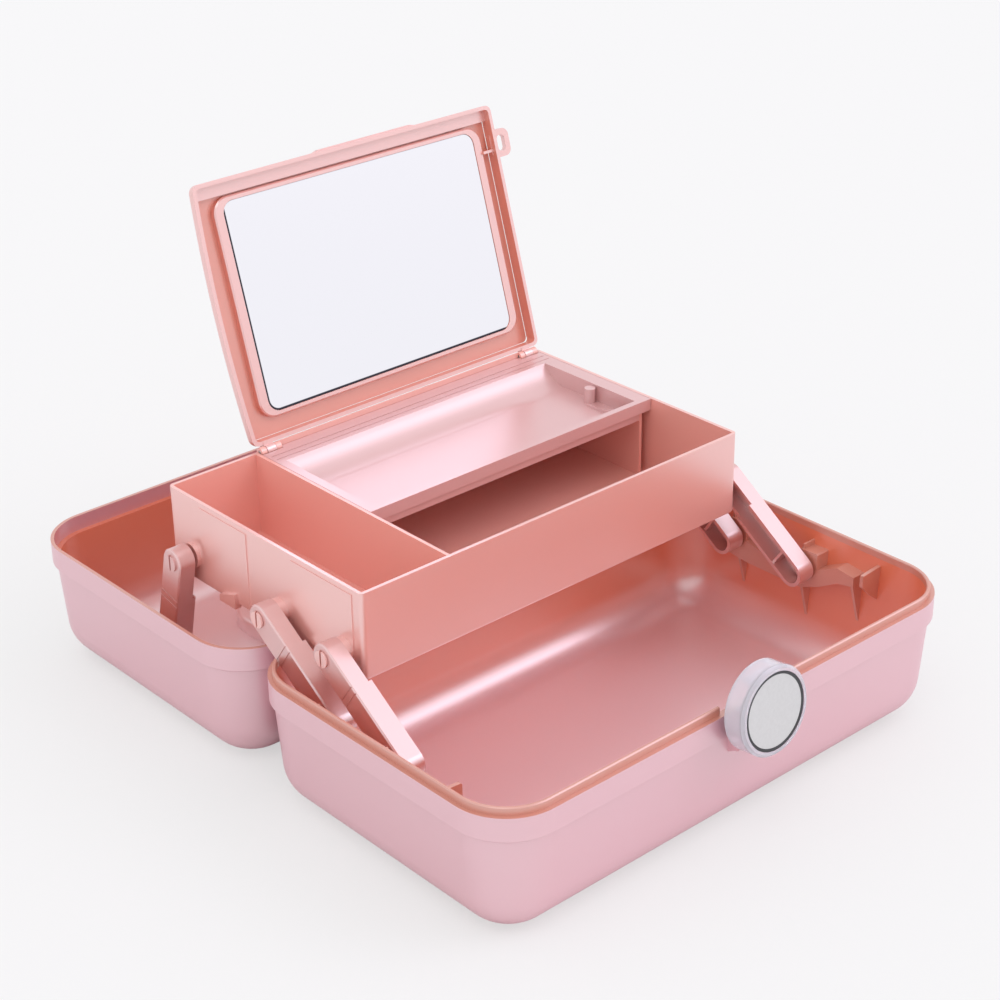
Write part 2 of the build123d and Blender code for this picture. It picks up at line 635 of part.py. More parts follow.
def mirror_lid_frame():
    """Shallow pan with a bezel for the mirror, hinge ears, a finger lip and the pull loop."""
    pan = extrude(Plane.XY.offset(-PAN_DEPTH) * pan_outline(0), amount=PAN_DEPTH)
    back_top = pan.edges().group_by(Axis.Z)[0].sort_by(Axis.Y)[-1]
    pan = fillet(back_top, 7.5)
    hollow = extrude(Plane.XY.offset(-PAN_DEPTH + PAN_PLATE) * pan_outline(PAN_WALL), amount=PAN_DEPTH)
    shoulder = block(2 * PAN_LEFT, 2 * PAN_RIGHT, PAN_HEIGHT - 9.0, PAN_HEIGHT, -PAN_DEPTH, -4.2)
    pan -= hollow - shoulder
    middle_x = (GLASS_LEFT + GLASS_RIGHT) / 2
    middle_y = (GLASS_LOW + GLASS_HIGH) / 2
    wide = GLASS_RIGHT - GLASS_LEFT
    high = GLASS_HIGH - GLASS_LOW
    floor = -PAN_DEPTH + PAN_PLATE
    frame = Pos(middle_x, middle_y) * RectangleRounded(wide + 2 * BEZEL, high + BEZEL, GLASS_RADIUS + 3)
    bezel = extrude(Plane.XY.offset(floor - 0.5) * frame, amount=BEZEL_RISE + 0.5)
    bezel = chamfer(bezel.edges().group_by(Axis.Z)[-1], 0.8)
    pocket = Pos(middle_x, middle_y) * RectangleRounded(
        wide + 2 * GLASS_GAP, high + 2 * GLASS_GAP, GLASS_RADIUS + GLASS_GAP
    )
    seat = floor + BEZEL_RISE - GLASS_THICK - 0.4
    pan += bezel - extrude(Plane.XY.offset(seat) * pocket, amount=20)
    pan += block(GLASS_RIGHT + 5.0, PAN_RIGHT - 1, 118.4, 120.0, floor, -2.0)
    first, last = LIP_ENDS
    top = PAN_HEIGHT + LIP_RISE
    root = PAN_HEIGHT - 1.5
    lip = Polygon((first, root), (first + LIP_TAPER, top), (last - LIP_TAPER, top), (last, root), align=None)
    pan += extrude(Plane.XY.offset(-3.6) * lip, amount=2.4, dir=(0, 0, 1))
    pan += mirror_loop()
    for station in MIRROR_STATIONS:
        pan += hinge_ear(station)
    return pan_plane().location * pan


def mirror_glass():
    """Mirror with rounded corners, seated in the bezel."""
    seat = -PAN_DEPTH + PAN_PLATE + BEZEL_RISE - GLASS_THICK - 0.4
    middle = Pos((GLASS_LEFT + GLASS_RIGHT) / 2, (GLASS_LOW + GLASS_HIGH) / 2)
    shape = middle * RectangleRounded(GLASS_RIGHT - GLASS_LEFT, GLASS_HIGH - GLASS_LOW, GLASS_RADIUS)
    return pan_plane().location * extrude(Plane.XY.offset(seat) * shape, amount=GLASS_THICK)


def mirror_hinge_pins():
    """Two short pins, one at each end of the mirror lid."""
    reach = mirror_pin_reach()
    y, z = MIRROR_AXIS
    return Compound(children=[rod(MIRROR_PIN, s - reach, s + reach, y, z) for s in MIRROR_STATIONS])


# ---- latch ----
def latch_plane():
    """Plane of the latch's front face."""
    lean = math.radians(LATCH_LEAN)
    return Plane(
        (0, LATCH_CENTRE[0], LATCH_CENTRE[1]), x_dir=(1, 0, 0), z_dir=(0, -math.cos(lean), math.sin(lean))
    )


def latch_body():
    """Clear round push plate, hollow at the back, with its knuckle and hook."""
    recess = DISC_THICK + 0.6
    puck = Pos(0, 0, -PUCK_DEPTH / 2) * Cylinder(PUCK_RADIUS, PUCK_DEPTH)
    puck = chamfer(puck.edges().group_by(Axis.Z)[-1], 1.4)
    puck -= Pos(0, 0, -recess / 2) * Cylinder(DISC_RADIUS + RING_WIDTH + 0.2, recess)
    hollow = PUCK_DEPTH - recess - 2.4
    puck -= Pos(0, 0, -PUCK_DEPTH + hollow / 2) * Cylinder(PUCK_RADIUS - 3.2, hollow)
    body = latch_plane().location * puck
    y, z = LATCH_PIVOT
    body += rod(LATCH_KNUCKLE, -LATCH_HALF, LATCH_HALF, y, z)
    body += slab(
        [(y - 1.0, z + 3.2), (y - 12.4, z + 5.0), (y - 12.4, z + 0.6), (y - 2.6, z - 2.2)],
        -LATCH_HALF,
        LATCH_HALF,
    )
    body += slab(
        [(HOOK_TIP, HOOK_Z), (HOOK_TIP, HOOK_Z + 1.2), (HOOK_TIP - 1.6, HOOK_Z + 3.0), (-108.8, HOOK_Z + 3.0),
         (-108.8, HOOK_Z)],
        -8.0,
        8.0,
    )
    return body - rod(LATCH_PIN + PIN_FIT, -LATCH_HALF - 1, LATCH_HALF + 1, y, z)


def latch_disc():
    """Bright disc in the latch's face."""
    recess = DISC_THICK + 0.6
    return latch_plane().location * (Pos(0, 0, -recess + DISC_THICK / 2) * Cylinder(DISC_RADIUS, DISC_THICK))


def latch_ring():
    """Dark ring round the disc."""
    recess = DISC_THICK + 0.6
    outer = Cylinder(DISC_RADIUS + RING_WIDTH + 0.1, DISC_THICK + 0.2)
    ring = outer - Cylinder(DISC_RADIUS + 0.1, 4 * DISC_THICK)
    return latch_plane().location * (Pos(0, 0, -recess + DISC_THICK / 2 + 0.1) * ring)


def latch_pin():
    """Plain pin through the latch's knuckle and both lugs."""
    reach = LATCH_HALF + 0.3 + LUG_WIDTH
    return rod(LATCH_PIN, -reach, reach, LATCH_PIVOT[0], LATCH_PIVOT[1])


# ---- carry handle ----
def carry_handle():
    """Fold-down bail that lies in the recess, reaching away from the case hinge."""
    half = HANDLE_THICK / 2
    outer = RectangleRounded(2 * HANDLE_HALF, 2 * HANDLE_REACH, 18.0)
    inner = RectangleRounded(2 * (HANDLE_HALF - HANDLE_HUB), 2 * (HANDLE_REACH - HANDLE_BAR), 11.0)
    bail = extrude(Plane.XY.offset(-half) * (outer - inner), amount=HANDLE_THICK)
    bail -= block(-RECESS_LENGTH, RECESS_LENGTH, -RECESS_LENGTH, 0, -HANDLE_THICK, HANDLE_THICK)
    bail = chamfer(bail.edges().group_by(Axis.Z)[-1], HANDLE_EDGE)
    bail = chamfer(bail.edges().group_by(Axis.Z)[0], HANDLE_EDGE)
    hub = rod(half, HANDLE_HALF - HANDLE_HUB, HANDLE_HALF, 0, 0)
    bail += both_sides(hub)
    bore = rod(HANDLE_PIN + 0.02, HANDLE_HALF - HANDLE_HUB + 1, HANDLE_HALF + 1, 0, 0)
    bail -= both_sides(bore)
    return Pos(0, LID_Y, HANDLE_AXIS_Z) * bail


def handle_pins():
    """Two pins that stand out of the handle's ends into the recess sockets."""
    pin = rod(HANDLE_PIN, HANDLE_HALF - HANDLE_HUB + 1, HANDLE_HALF + 5.6, LID_Y, HANDLE_AXIS_Z)
    return Compound(children=[pin, mirror(pin, about=Plane.YZ)])


def main():
    nodes = {
        "base_shell": base_shell(),
        "lid_shell": lid_shell(),
        "case_hinge_pins": case_hinge_pins(),
        "storage_tray": storage_tray(),
        "shelf_tray": shelf_tray(),
        "mirror_lid_frame": mirror_lid_frame(),
        "mirror_glass": mirror_glass(),
        "mirror_hinge_pins": mirror_hinge_pins(),
        "rear_arm_studs": rear_arm_studs(),
        "latch_body": latch_body(),
        "latch_disc": latch_disc(),
        "latch_ring": latch_ring(),
        "latch_pin": latch_pin(),
        "carry_handle": carry_handle(),
        "handle_pins": handle_pins(),
    }
    arms = (
        ("front_arm", ARM_LENGTH, FRONT_PIVOT, ARM_OPEN),
        ("middle_arm", ARM_LENGTH, MIDDLE_PIVOT, ARM_OPEN),
        ("rear_arm", REAR_LENGTH, LID_PIVOT, REAR_ARM_OPEN + 180),
    )
    for name, length, pivot, degrees in arms:
        right = placed_arm(length, pivot, degrees)
        nodes[name + "_right"] = right
        nodes[name + "_left"] = mirror(right, about=Plane.YZ)
    for name, part in nodes.items():
        part.label = name
        export_step(part, "parts/" + name + ".step")


main()
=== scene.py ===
import math

import bmesh
import bpy
from mathutils import Matrix, Vector


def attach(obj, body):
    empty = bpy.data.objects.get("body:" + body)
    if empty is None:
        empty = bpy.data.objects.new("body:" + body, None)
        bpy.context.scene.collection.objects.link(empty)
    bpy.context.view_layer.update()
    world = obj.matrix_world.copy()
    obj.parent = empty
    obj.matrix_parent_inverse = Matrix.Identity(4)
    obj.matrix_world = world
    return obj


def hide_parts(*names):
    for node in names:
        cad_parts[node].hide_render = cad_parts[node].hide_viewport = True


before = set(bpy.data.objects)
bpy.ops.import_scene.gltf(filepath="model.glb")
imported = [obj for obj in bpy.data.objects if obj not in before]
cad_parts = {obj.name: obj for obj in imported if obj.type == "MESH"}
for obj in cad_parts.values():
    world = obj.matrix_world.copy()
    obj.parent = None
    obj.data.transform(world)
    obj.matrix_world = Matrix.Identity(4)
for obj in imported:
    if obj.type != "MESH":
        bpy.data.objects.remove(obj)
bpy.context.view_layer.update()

# ---- Studio ----
# A pale seamless floor under an even white sky, a little brighter from the left, with one soft
# window high at the front right that the plastic mirrors. The camera stands in front of the
# case's left corner, at the photograph's angle.
CAMERA_AT = Vector((-0.7040, -0.7081, 0.6569))
CAMERA_TURN = math.radians(-41.587)
CAMERA_DOWN = math.radians(26.930)
CAMERA_ROLL = math.radians(-0.835)
CAMERA_LENS = 79.78
CAMERA_SENSOR = 36
CAMERA_NEAR = 0.01
SKY_COLOUR = (0.955, 0.965, 1.0)
# direction the light comes from, its colour and strength, how tight it is
LEFT_GLOW = ((-0.80, -0.20, 0.55), (0.155, 0.155, 0.16), 3.0)
WINDOW_GLOW = ((0.57, -0.50, 0.65), (2.9, 2.4, 2.9), 24.0)
BACKDROP_COLOUR = (0.922, 0.922, 0.920, 1)
LAMP_FROM = Vector((-0.35, -0.2, 0.95))
LAMP_STRENGTH = 0.25
LAMP_SPREAD = math.radians(28)
FLOOR_HALF = 5.0
FLOOR_GAP = 0.0004
FLOOR_COLOUR = (0.80, 0.80, 0.79, 1)
FLOOR_GLOW_SHARE = 0.6


def wire(tree, kind, sockets, **settings):
    """Adds a node to a tree with its settings, and sets or links each of the sockets given."""
    made = tree.nodes.new(kind)
    for setting, value in settings.items():
        setattr(made, setting, value)
    for socket, value in sockets.items():
        if isinstance(value, bpy.types.NodeSocket):
            tree.links.new(value, made.inputs[socket])
        else:
            made.inputs[socket].default_value = value
    return made


def new_material(name, sockets):
    """A new material and its shader, with the values that are the same all over it."""
    material = bpy.data.materials.new(name)
    material.use_nodes = True
    shader = material.node_tree.nodes["Principled BSDF"]
    for socket, value in sockets.items():
        shader.inputs[socket].default_value = value
    return material, shader


scene = bpy.context.scene
scene.view_settings.view_transform = "Standard"

camera_data = bpy.data.cameras.new("photo_camera")
camera_data.sensor_width = CAMERA_SENSOR
camera_data.lens = CAMERA_LENS
camera_data.clip_start = CAMERA_NEAR
camera = bpy.data.objects.new("photo_camera", camera_data)
scene.collection.objects.link(camera)
ahead = Vector(
    (
        -math.sin(CAMERA_TURN) * math.cos(CAMERA_DOWN),
        math.cos(CAMERA_TURN) * math.cos(CAMERA_DOWN),
        -math.sin(CAMERA_DOWN),
    )
)
level = Vector((math.cos(CAMERA_TURN), math.sin(CAMERA_TURN), 0))
upward = level.cross(ahead)
to_right = math.cos(CAMERA_ROLL) * level + math.sin(CAMERA_ROLL) * upward
to_top = -math.sin(CAMERA_ROLL) * level + math.cos(CAMERA_ROLL) * upward
camera_axes = Matrix((to_right, to_top, -ahead)).transposed().to_4x4()
camera.matrix_world = Matrix.Translation(CAMERA_AT) @ camera_axes
scene.camera = camera

world = bpy.data.worlds.new("soft_sky")
scene.world = world
world.use_nodes = True
sky_tree = world.node_tree
sky_tree.nodes.clear()
direction = wire(sky_tree, "ShaderNodeTexCoord", {}).outputs["Generated"]
light_sum = SKY_COLOUR
for toward, glow, tight in (LEFT_GLOW, WINDOW_GLOW):
    facing = wire(
        sky_tree,
        "ShaderNodeVectorMath",
        {0: direction, 1: Vector(toward).normalized()},
        operation="DOT_PRODUCT",
    ).outputs["Value"]
    lit = wire(sky_tree, "ShaderNodeMath", {0: facing, 1: 0.0}, operation="MAXIMUM").outputs[0]
    fall = wire(sky_tree, "ShaderNodeMath", {0: lit, 1: tight}, operation="POWER").outputs[0]
    light_sum = wire(
        sky_tree, "ShaderNodeVectorMath", {0: fall, 1: glow, 2: light_sum}, operation="MULTIPLY_ADD"
    ).outputs[0]
sky = wire(sky_tree, "ShaderNodeBackground", {"Color": light_sum}).outputs[0]
# the camera sees a pale backdrop beyond the floor's edge
backdrop = wire(sky_tree, "ShaderNodeBackground", {"Color": BACKDROP_COLOUR}).outputs[0]
seen = wire(sky_tree, "ShaderNodeLightPath", {}).outputs["Is Camera Ray"]
sky_or_backdrop = wire(sky_tree, "ShaderNodeMixShader", {0: seen, 1: sky, 2: backdrop}).outputs[0]
wire(sky_tree, "ShaderNodeOutputWorld", {"Surface": sky_or_backdrop})

lamp_data = bpy.data.lights.new("window", "SUN")
lamp_data.energy = LAMP_STRENGTH
lamp_data.angle = LAMP_SPREAD
lamp = bpy.data.objects.new("window", lamp_data)
scene.collection.objects.link(lamp)
lamp.rotation_euler = LAMP_FROM.to_track_quat("Z", "Y").to_euler()

floor_mesh = bpy.data.meshes.new("studio_floor")
floor_corners = ((-1, -1), (1, -1), (1, 1), (-1, 1))
floor_mesh.from_pydata(
    [(x * FLOOR_HALF, y * FLOOR_HALF, -FLOOR_GAP) for x, y in floor_corners], [], [(0, 1, 2, 3)]
)
studio_floor = bpy.data.objects.new("studio_floor", floor_mesh)
scene.collection.objects.link(studio_floor)
# to the camera, and through clear plastic, part of the paper's tone is its own glow, so that it
# stays pale and keeps the shadow
paper, paper_shader = new_material(
    "studio_paper", {"Base Color": FLOOR_COLOUR, "Roughness": 1.0, "Specular IOR Level": 0.0}
)
paper_tree = paper.node_tree
glow = wire(paper_tree, "ShaderNodeEmission", {"Color": BACKDROP_COLOUR}).outputs[0]
path = wire(paper_tree, "ShaderNodeLightPath", {}).outputs
looked_at = wire(
    paper_tree,
    "ShaderNodeMath",
    {0: path["Is Camera Ray"], 1: path["Is Transmission Ray"]},
    operation="MAXIMUM",
).outputs[0]
glow_share = wire(
    paper_tree, "ShaderNodeMath", {0: looked_at, 1: FLOOR_GLOW_SHARE}, operation="MULTIPLY"
).outputs[0]
paper_mix = wire(
    paper_tree, "ShaderNodeMixShader", {"Fac": glow_share, 1: paper_shader.outputs[0], 2: glow}
).outputs[0]
paper_tree.links.new(paper_mix, paper_tree.nodes["Material Output"].inputs["Surface"])
floor_mesh.materials.append(paper)

# ---- Base shell ----
# The lower half of the case, injection moulded in pearl-filled plastic with a gloss finish.
# Its outside looks pale and silky. The inside, rim and brackets are the same plastic with painted
# shade, the inside floor with painted light.
OUTSIDE_PINK = (0.66, 0.25, 0.29, 1)
OUTSIDE_PEARL = (0.66, 0.29, 0.38, 1)
# deeper rose for the inside walls: painted shade and bounced light on the same plastic
INSIDE_PAINTED_SHADE = (0.79, 0.17, 0.07, 1)
INSIDE_PAINTED_SHADE_PEARL = (0.77, 0.21, 0.11, 1)
# paler tone for the inside floor: painted light
INSIDE_FLOOR_PAINTED_LIGHT = (0.90, 0.58, 0.60, 1)
# darker salmon for the rim and the arm brackets: painted shade on the same plastic
RIM_PAINTED_SHADE = (0.60, 0.21, 0.14, 1)
RIM_PAINTED_SHADE_PEARL = (0.60, 0.25, 0.18, 1)
COAT_ROUGHNESS = 0.32
COAT_IOR = 4.0
GRAIN_SCALE = 420.0
GRAIN_STRENGTH = 0.05
GRAIN_DEPTH = 0.0004
GLOSS_WANDER = 0.08
# heights where the floor's painted light fades out and where it is full
FLOOR_LIGHT_NONE_AT = 0.026
FLOOR_LIGHT_FULL_AT = 0.003
# half length, half depth and corner radius of the case and of the handle's recess, from above
CASE_PLAN = (0.1645, 0.0982, 0.032)
RECESS_PLAN = (0.0696, 0.0486, 0.0216)
RECESS_ROOF = 0.0099
RECESS_WALL = 0.0011
RIM_TOP = 0.07485
RIM_DEPTH = 0.001
RIM_INSET = 0.0044
BAND_LOW = 0.06085
BAND_STEP = 0.0022
OUTER_ROUND = 0.024
INNER_ROUND = 0.021
SHELL_FLOOR = 0.0025
DRAFT = math.tan(math.radians(4))
BARREL_OUT = 0.0002
BRACKET_LOW = 0.028
BRACKET_OUT = 0.0015
SHARP_EDGE = math.radians(32)
FLAT_WITHIN = math.cos(math.radians(0.3))
FLAT_LEADS = 0.22
WELD_GAP = 0.000002

# Pearl pigment: soft flow clouds and a fine sparkle, shared by every moulded piece.
pearl = bpy.data.node_groups.new("moulded_pearl", "ShaderNodeTree")
for name, kind, value in (
    ("Pigment", "NodeSocketColor", (0.8, 0.5, 0.5, 1)),
    ("Pearl", "NodeSocketColor", (0.9, 0.7, 0.75, 1)),
    ("Cloud Size", "NodeSocketFloat", 9.0),
    ("Cloud Amount", "NodeSocketFloat", 0.35),
    ("Flake Size", "NodeSocketFloat", 1400.0),
    ("Flake Amount", "NodeSocketFloat", 0.12),
    ("Gloss", "NodeSocketFloat", 0.34),
    # the paler floor tone: painted light
    ("Floor Painted Light", "NodeSocketColor", (0.9, 0.7, 0.75, 1)),
    ("Floor Share", "NodeSocketFloat", 0.0),
):
    socket = pearl.interface.new_socket(name, in_out="INPUT", socket_type=kind)
    socket.default_value = value
for name, kind in (
    ("Colour", "NodeSocketColor"),
    ("Roughness", "NodeSocketFloat"),
    ("Normal", "NodeSocketVector"),
    ("Floor Mask", "NodeSocketFloat"),
):
    pearl.interface.new_socket(name, in_out="OUTPUT", socket_type=kind)
given = wire(pearl, "NodeGroupInput", {}).outputs
place = wire(pearl, "ShaderNodeTexCoord", {}).outputs["Object"]
cloud, flake, grain = (
    wire(
        pearl, "ShaderNodeTexNoise", {"Vector": place, "Scale": scale, "Detail": detail}
    ).outputs["Fac"]
    for scale, detail in (
        (given["Cloud Size"], 2.0),
        (given["Flake Size"], 1.0),
        (GRAIN_SCALE, 3.0),
    )
)
cloud_share = wire(
    pearl, "ShaderNodeMath", {0: cloud, 1: given["Cloud Amount"]}, operation="MULTIPLY"
).outputs[0]
pearl_share = wire(
    pearl,
    "ShaderNodeMath",
    {0: flake, 1: given["Flake Amount"], 2: cloud_share},
    operation="MULTIPLY_ADD",
).outputs[0]
blend = wire(
    pearl,
    "ShaderNodeMix",
    {"Factor": pearl_share, "A": given["Pigment"], "B": given["Pearl"]},
    data_type="RGBA",
).outputs["Result"]
# painted light: a paler tone on the floor, full at the floor and none above its round
height = wire(pearl, "ShaderNodeSeparateXYZ", {0: place}).outputs["Z"]
floor_light_ramp = wire(
    pearl,
    "ShaderNodeMapRange",
    {"Value": height, "From Min": FLOOR_LIGHT_NONE_AT, "From Max": FLOOR_LIGHT_FULL_AT},
    interpolation_type="SMOOTHSTEP",
).outputs["Result"]
floor_light_share = wire(
    pearl, "ShaderNodeMath", {0: floor_light_ramp, 1: given["Floor Share"]}, operation="MULTIPLY"
).outputs[0]
with_floor_light = wire(
    pearl,
    "ShaderNodeMix",
    {"Factor": floor_light_share, "A": blend, "B": given["Floor Painted Light"]},
    data_type="RGBA",
).outputs["Result"]
gloss = wire(
    pearl,
    "ShaderNodeMath",
    {0: cloud, 1: GLOSS_WANDER, 2: given["Gloss"]},
    operation="MULTIPLY_ADD",
).outputs[0]
ripple = wire(
    pearl,
    "ShaderNodeBump",
    {"Strength": GRAIN_STRENGTH, "Distance": GRAIN_DEPTH, "Height": grain},
).outputs["Normal"]
wire(
    pearl,
    "NodeGroupOutput",
    {"Colour": with_floor_light, "Roughness": gloss, "Normal": ripple, "Floor Mask": floor_light_share},
)


def moulded_plastic(name, pigment, pearl_tone, gloss_level=0.40, coat=1.0, floor=None):
    """Pearl plastic in one pair of colours, with a third on a floor as painted light."""
    material, shader = new_material(
        name,
        {
            "Coat Weight": coat,
            "Coat Roughness": COAT_ROUGHNESS,
            "Coat IOR": COAT_IOR,
            "Specular IOR Level": 0.5,
        },
    )
    tree = material.node_tree
    finish = {"Pigment": pigment, "Pearl": pearl_tone, "Gloss": gloss_level}
    if floor:
        finish.update({"Floor Painted Light": floor, "Floor Share": 1.0})
    group = wire(tree, "ShaderNodeGroup", finish, node_tree=pearl)
    tree.links.new(group.outputs["Colour"], shader.inputs["Base Color"])
    tree.links.new(group.outputs["Roughness"], shader.inputs["Roughness"])
    tree.links.new(group.outputs["Normal"], shader.inputs["Normal"])
    if floor:
        # the full gloss of the floor thins out up the walls
        thin = wire(
            tree,
            "ShaderNodeMapRange",
            {"Value": group.outputs["Floor Mask"], "To Min": coat, "To Max": 1.0},
        ).outputs["Result"]
        tree.links.new(thin, shader.inputs["Coat Weight"])
    return material


def even_shading(mesh):
    """Shades facets as one surface: the widest flats that meet at a corner lead its normal."""
    form = bmesh.new()
    form.from_mesh(mesh)
    for edge in form.edges:
        edge.smooth = len(edge.link_faces) == 2 and edge.calc_face_angle() < SHARP_EDGE
    for face in form.faces:
        face.smooth = True
    form.to_mesh(mesh)
    # the area of the whole flat that each face is part of
    flat_area = [0.0] * len(form.faces)
    counted = set()
    for seed in form.faces:
        if seed.index in counted or seed.calc_area() < 1e-10:
            continue
        flat = [seed]
        counted.add(seed.index)
        for face in flat:
            for edge in face.edges:
                for other in edge.link_faces:
                    if other.index not in counted and other.normal.dot(seed.normal) > FLAT_WITHIN:
                        counted.add(other.index)
                        flat.append(other)
        total = sum(face.calc_area() for face in flat)
        for face in flat:
            flat_area[face.index] = total
    # one normal for each fan of faces that smooth edges join round a corner
    corner_normals = {}
    for vert in form.verts:
        left = {loop.face.index: loop for loop in vert.link_loops}
        while left:
            fan = [left.pop(next(iter(left)))]
            for loop in fan:
                for edge in loop.face.edges:
                    if vert in edge.verts and edge.smooth:
                        for other in edge.link_faces:
                            if other.index in left:
                                fan.append(left.pop(other.index))
            widest = max(flat_area[loop.face.index] for loop in fan)
            normal = Vector()
            for loop in fan:
                share = flat_area[loop.face.index] / max(widest, 1e-12)
                weight = 1.0 if share > FLAT_LEADS else share**2
                normal += loop.calc_angle() * weight * loop.face.normal
            if normal.length < 1e-30:
                normal = fan[0].face.normal.copy()
            normal.normalize()
            for loop in fan:
                corner_normals[loop.face.index, vert.index] = normal
    form.free()
    mesh.normals_split_custom_set(
        [
            corner_normals[face.index, mesh.loops[corner].vertex_index]
            for face in mesh.polygons
            for corner in face.loop_indices
        ]
    )


def evaluated_mesh(piece):
    """The piece's mesh with its modifier applied."""
    depsgraph = bpy.context.evaluated_depsgraph_get()
    return bpy.data.meshes.new_from_object(piece.evaluated_get(depsgraph))


def smooth_piece(node, name, body, materials, choose=None):
    """The node's surface with its facets joined and shaded smooth, standing for the node."""
    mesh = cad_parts[node].data.copy()
    mesh.name = name
    mesh.materials.clear()
    for material in materials:
        mesh.materials.append(material)
    piece = bpy.data.objects.new(name, mesh)
    scene.collection.objects.link(piece)
    weld = piece.modifiers.new("weld", "WELD")
    weld.merge_threshold = WELD_GAP
    joined = evaluated_mesh(piece)
    piece.modifiers.remove(weld)
    piece.data = joined
    joined.name = name
    for face in joined.polygons:
        face.material_index = choose(face.center, face.normal) if choose else 0
    even_shading(joined)
    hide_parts(node)
    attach(piece, body)
    return piece


def plan_inset(x, y, half_x, half_y, radius):
    """How far a point lies inside a rounded rectangle's edge."""
    dx = abs(x) - (half_x - radius)
    dy = abs(y) - (half_y - radius)
    return radius - math.hypot(dx, dy) if dx > 0 and dy > 0 else radius - max(dx, dy)


def wall_inset(z, at_top, top, round_size, base_z):
    """How far a drafted wall with a round foot lies inside the plan at a height."""
    low = max(base_z + round_size - z, 0)
    return at_top + (top - z) * DRAFT + round_size - math.sqrt(max(round_size**2 - low**2, 0))


def shell_side(middle_y, recessed):
    """Tells a shell's outside (0), its inside (1), and its rim and arm brackets (2); 1 and 2 get
    tones with painted shade.
    """

    def side(centre, normal):
        x, y, z = centre.x, centre.y - middle_y, centre.z
        inset = plan_inset(x, y, *CASE_PLAN)
        if inset < -BARREL_OUT:
            return 0
        if z > RIM_TOP - RIM_DEPTH:
            return 2
        if z < SHELL_FLOOR / 2:
            return 0
        if recessed and z < RECESS_ROOF and plan_inset(x, y, *RECESS_PLAN) > -RECESS_WALL:
            return 0
        outer = 0 if z > BAND_LOW else wall_inset(z, BAND_STEP, BAND_LOW, OUTER_ROUND, 0)
        inner = wall_inset(max(z, SHELL_FLOOR), RIM_INSET, RIM_TOP, INNER_ROUND, SHELL_FLOOR)
        if z > BRACKET_LOW and inset > inner + BRACKET_OUT:
            return 2
        return 0 if inset < (outer + inner) / 2 else 1

    return side


shell_outside = moulded_plastic("shell_outside", OUTSIDE_PINK, OUTSIDE_PEARL)
shell_inside_painted_shade = moulded_plastic(
    "shell_inside_painted_shade", INSIDE_PAINTED_SHADE, INSIDE_PAINTED_SHADE_PEARL, coat=0.5, floor=INSIDE_FLOOR_PAINTED_LIGHT
)
shell_rim_painted_shade = moulded_plastic("shell_rim_painted_shade", RIM_PAINTED_SHADE, RIM_PAINTED_SHADE_PEARL, coat=0.5)
shell_finish = [shell_outside, shell_inside_painted_shade, shell_rim_painted_shade]
base_tub = smooth_piece("base_shell", "base_tub", "base", shell_finish, shell_side(0, False))

# ---- Lid shell ----
# The upper half, the same moulding turned over, lying open behind the base. A shallow recess in
# its top takes the folded handle.
LID_MIDDLE = 0.2046
lid_tub = smooth_piece("lid_shell", "lid_tub", "lid", shell_finish, shell_side(LID_MIDDLE, True))

# ---- Case hinge pins ----
# Two drawn steel pins with formed heads, one through each set of barrels at the back. They stay
# with the base, and the lid's barrels turn on them.
STEEL = (0.55, 0.55, 0.56, 1)
STEEL_ROUGHNESS = (0.24, 0.42)
DRAWING_MARKS = (60, 2600, 2600)
PIN_SIDES = 32
HEAD_TIP_SHARE = 0.8
CHAMFER = 0.0003

pin_steel, pin_shader = new_material("pin_steel", {"Base Color": STEEL, "Metallic": 1.0})
pin_tree = pin_steel.node_tree
where = wire(pin_tree, "ShaderNodeTexCoord", {}).outputs["Object"]
stretch = wire(pin_tree, "ShaderNodeMapping", {"Vector": where, "Scale": DRAWING_MARKS})
marks = wire(
    pin_tree,
    "ShaderNodeTexNoise",
    {"Vector": stretch.outputs["Vector"], "Scale": 1.0, "Detail": 3.0},
).outputs["Fac"]
span = wire(
    pin_tree,
    "ShaderNodeMapRange",
    {"Value": marks, "To Min": STEEL_ROUGHNESS[0], "To Max": STEEL_ROUGHNESS[1]},
).outputs["Result"]
pin_tree.links.new(span, pin_shader.inputs["Roughness"])

# Pins along X in a row: a shank with a chamfered head or end at both sides, from named sizes.
pin_row = bpy.data.node_groups.new("pin_row", "GeometryNodeTree")
pin_socket = {}
for name, kind in (
    ("Shank Radius", "NodeSocketFloat"),
    ("Shank Length", "NodeSocketFloat"),
    ("Head Radius", "NodeSocketFloat"),
    ("Head Tip Radius", "NodeSocketFloat"),
    ("Head Length", "NodeSocketFloat"),
    ("First Middle", "NodeSocketVector"),
    ("Pitch", "NodeSocketVector"),
    ("Count", "NodeSocketInt"),
    ("Metal", "NodeSocketMaterial"),
):
    socket = pin_row.interface.new_socket(name, in_out="INPUT", socket_type=kind)
    pin_socket[name] = socket.identifier
pin_row.interface.new_socket("Pins", in_out="OUTPUT", socket_type="NodeSocketGeometry")
sized = wire(pin_row, "NodeGroupInput", {}).outputs
shank = wire(
    pin_row,
    "GeometryNodeMeshCylinder",
    {"Vertices": PIN_SIDES, "Radius": sized["Shank Radius"], "Depth": sized["Shank Length"]},
).outputs["Mesh"]
head = wire(
    pin_row,
    "GeometryNodeMeshCone",
    {
        "Vertices": PIN_SIDES,
        "Radius Top": sized["Head Tip Radius"],
        "Radius Bottom": sized["Head Radius"],
        "Depth": sized["Head Length"],
    },
).outputs["Mesh"]
half_length = wire(
    pin_row, "ShaderNodeMath", {0: sized["Shank Length"], 1: 0.5}, operation="MULTIPLY"
).outputs[0]
head_place = wire(pin_row, "ShaderNodeCombineXYZ", {"Z": half_length}).outputs[0]
upper_head = wire(
    pin_row, "GeometryNodeTransform", {"Geometry": head, "Translation": head_place}
).outputs[0]
